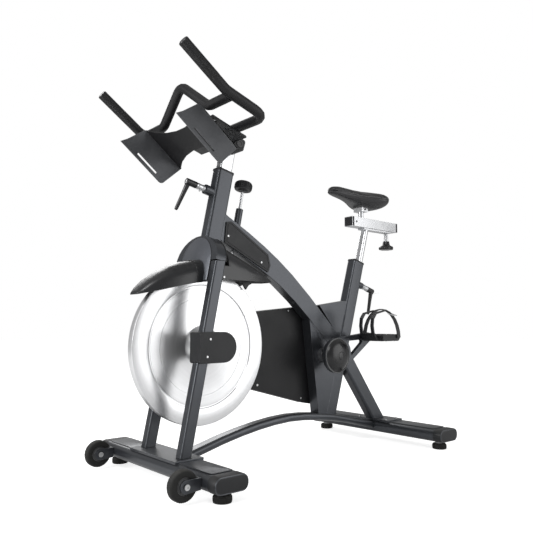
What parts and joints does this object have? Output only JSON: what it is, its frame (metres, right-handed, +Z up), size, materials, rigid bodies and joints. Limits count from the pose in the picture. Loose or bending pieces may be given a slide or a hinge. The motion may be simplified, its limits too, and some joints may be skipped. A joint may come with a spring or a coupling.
{
  "type": "indoor spin bike",
  "caption": "Indoor spin bike with a front flywheel, belt drive, forked cranks with toe cages, bull-horn bars, arched base tube and a saddle on a sliding rail.",
  "frame": {"origin": "on the floor, midway between the frontmost and rearmost points and between the ends of the stabilizers", "axes": "+X towards the rear (saddle), +Y towards the rider's right (drive side), +Z up"},
  "size_m": [1.161, 0.6, 1.134],
  "materials": {
    "frame_paint": "charcoal metallic paint, satin",
    "black_plastic": "black, fine grain",
    "black_metal": "black powder coat",
    "rubber": "black, matt",
    "grip": "black, fine ribs",
    "silver": "satin anodised",
    "flywheel_metal": "bright, turned",
    "steel": "machined",
    "sheet_grey": "grey powder coat",
    "padding": "black synthetic leather, matt",
    "saddle_shell": "dark grey"
  },
  "bodies": {
    "frame": {"front_stabilizer": "frame_paint", "rear_stabilizer": "frame_paint", "left_fork_leg": "frame_paint", "right_fork_leg": "frame_paint", "fork_crown": "frame_paint", "head_post": "frame_paint", "main_beam": "frame_paint", "seat_tube": "frame_paint", "seat_gusset": "frame_paint", "bracket_housing": "frame_paint", "rear_leg": "frame_paint", "lower_tube": "frame_paint", "left_wheel_bracket": "frame_paint", "right_wheel_bracket": "frame_paint", "beam_cover_left": "black_plastic", "beam_cover_right": "black_plastic", "front_fender": "black_plastic", "rear_fender": "black_plastic", "belt_guard_inner": "black_plastic", "belt_guard_outer": "black_plastic", "left_axle_block": "black_plastic", "right_axle_block": "black_plastic", "left_axle_bearing": "steel", "right_axle_bearing": "steel", "bottom_bracket_shell": "steel", "drive_belt": "rubber"},
    "flywheel_set": {"flywheel": "flywheel_metal", "flywheel_axle": "steel", "flywheel_pulley": "steel"},
    "crankset": {"crank_spindle": "steel", "left_crank": "frame_paint", "right_crank": "frame_paint", "left_crank_cap": "black_plastic", "right_crank_cap": "black_plastic", "drive_pulley": "steel"},
    "left_pedal_set": {"left_pedal": "black_plastic", "left_toe_cage": "black_plastic"},
    "right_pedal_set": {"right_pedal": "black_plastic", "right_toe_cage": "black_plastic"},
    "left_wheel": {"left_transport_wheel": "rubber"},
    "right_wheel": {"right_transport_wheel": "rubber"},
    "bars": {"handlebar_stem": "silver", "head_clamp": "black_metal", "handlebar": "grip", "inner_bar": "grip", "accessory_cradle": "sheet_grey"},
    "front_lever": {"front_clamp_lever": "black_plastic"},
    "seat_carrier": {"seat_post": "silver"},
    "saddle_unit": {"saddle_slider": "silver", "saddle_base": "saddle_shell", "saddle": "padding"},
    "rail_knob": {"slider_knob": "black_plastic"},
    "rear_lever": {"rear_clamp_lever": "black_plastic"},
    "brake_plunger": {"brake_rod": "silver"},
    "brake_knob": {"resistance_knob": "black_plastic"},
    "caliper": {"brake_caliper": "black_plastic"},
    "foot_front_left": {"front_left_foot": "rubber"},
    "foot_front_right": {"front_right_foot": "rubber"},
    "foot_rear_left": {"rear_left_foot": "rubber"},
    "foot_rear_right": {"rear_right_foot": "rubber"}
  },
  "joints": [
    {"name": "flywheel_spin", "type": "hinge", "parent": "frame", "child": "flywheel_set", "pos_m": [-0.3415, 0, 0.357], "axis": [0, 1, 0], "continuous": true},
    {"name": "crank_spin", "type": "hinge", "parent": "frame", "child": "crankset", "pos_m": [0.1475, 0, 0.316], "axis": [0, 1, 0], "continuous": true},
    {"name": "left_pedal_spin", "type": "hinge", "parent": "crankset", "child": "left_pedal_set", "pos_m": [0.30725, 0, 0.37414], "axis": [0, 1, 0], "continuous": true},
    {"name": "right_pedal_spin", "type": "hinge", "parent": "crankset", "child": "right_pedal_set", "pos_m": [-0.01225, 0, 0.25786], "axis": [0, 1, 0], "continuous": true},
    {"name": "left_wheel_spin", "type": "hinge", "parent": "frame", "child": "left_wheel", "pos_m": [-0.5425, -0.225, 0.046], "axis": [0, 1, 0], "continuous": true},
    {"name": "right_wheel_spin", "type": "hinge", "parent": "frame", "child": "right_wheel", "pos_m": [-0.5425, 0.225, 0.046], "axis": [0, 1, 0], "continuous": true},
    {"name": "bars_height", "type": "slide", "parent": "frame", "child": "bars", "axis": [0.2032, 0, 0.9791], "range_m": [-0.04, 0.1]},
    {"name": "front_lever_turn", "type": "hinge", "parent": "frame", "child": "front_lever", "pos_m": [-0.30682, 0, 0.81589], "axis": [-0.9791, 0, 0.2032], "range_deg": [-45, 45]},
    {"name": "saddle_height", "type": "slide", "parent": "frame", "child": "seat_carrier", "axis": [0.2909, 0, 0.9568], "range_m": [-0.1, 0.1]},
    {"name": "saddle_fore_aft", "type": "slide", "parent": "seat_carrier", "child": "saddle_unit", "axis": [1, 0, 0], "range_m": [-0.04, 0.04]},
    {"name": "rail_knob_turn", "type": "hinge", "parent": "seat_carrier", "child": "rail_knob", "pos_m": [0.5325, 0, 0.709], "axis": [0, 0, 1], "range_deg": [-180, 180]},
    {"name": "rear_lever_turn", "type": "hinge", "parent": "frame", "child": "rear_lever", "pos_m": [0.35404, 0, 0.56815], "axis": [0.9568, 0, -0.2909], "range_deg": [-45, 45]},
    {"name": "brake_push", "type": "slide", "parent": "frame", "child": "brake_plunger", "axis": [0.1961, 0, 0.9806], "range_m": [-0.01, 0], "stiffness_N_per_m": 1500, "springref_m": 0.004},
    {"name": "resistance_turn", "type": "hinge", "parent": "brake_plunger", "child": "brake_knob", "pos_m": [-0.1883, 0, 0.834], "axis": [0.1961, 0, 0.9806], "range_deg": [-360, 360]},
    {"name": "caliper_swing", "type": "hinge", "parent": "frame", "child": "caliper", "pos_m": [-0.1355, 0, 0.56], "axis": [0, 1, 0], "range_deg": [-5.8, 0.2]},
    {"name": "front_left_foot_turn", "type": "hinge", "parent": "frame", "child": "foot_front_left", "pos_m": [-0.4525, -0.261, 0], "axis": [0, 0, 1], "range_deg": [-360, 360]},
    {"name": "front_right_foot_turn", "type": "hinge", "parent": "frame", "child": "foot_front_right", "pos_m": [-0.4525, 0.261, 0], "axis": [0, 0, 1], "range_deg": [-360, 360]},
    {"name": "rear_left_foot_turn", "type": "hinge", "parent": "frame", "child": "foot_rear_left", "pos_m": [0.4615, -0.261, 0], "axis": [0, 0, 1], "range_deg": [-360, 360]},
    {"name": "rear_right_foot_turn", "type": "hinge", "parent": "frame", "child": "foot_rear_right", "pos_m": [0.4615, 0.261, 0], "axis": [0, 0, 1], "range_deg": [-360, 360]}
  ],
  "couplings": [
    {"joint": "crank_spin", "follows": "flywheel_spin", "ratio": 0.26154},
    {"joint": "caliper_swing", "follows": "brake_push", "rad_per_m": 9.6}
  ]
}
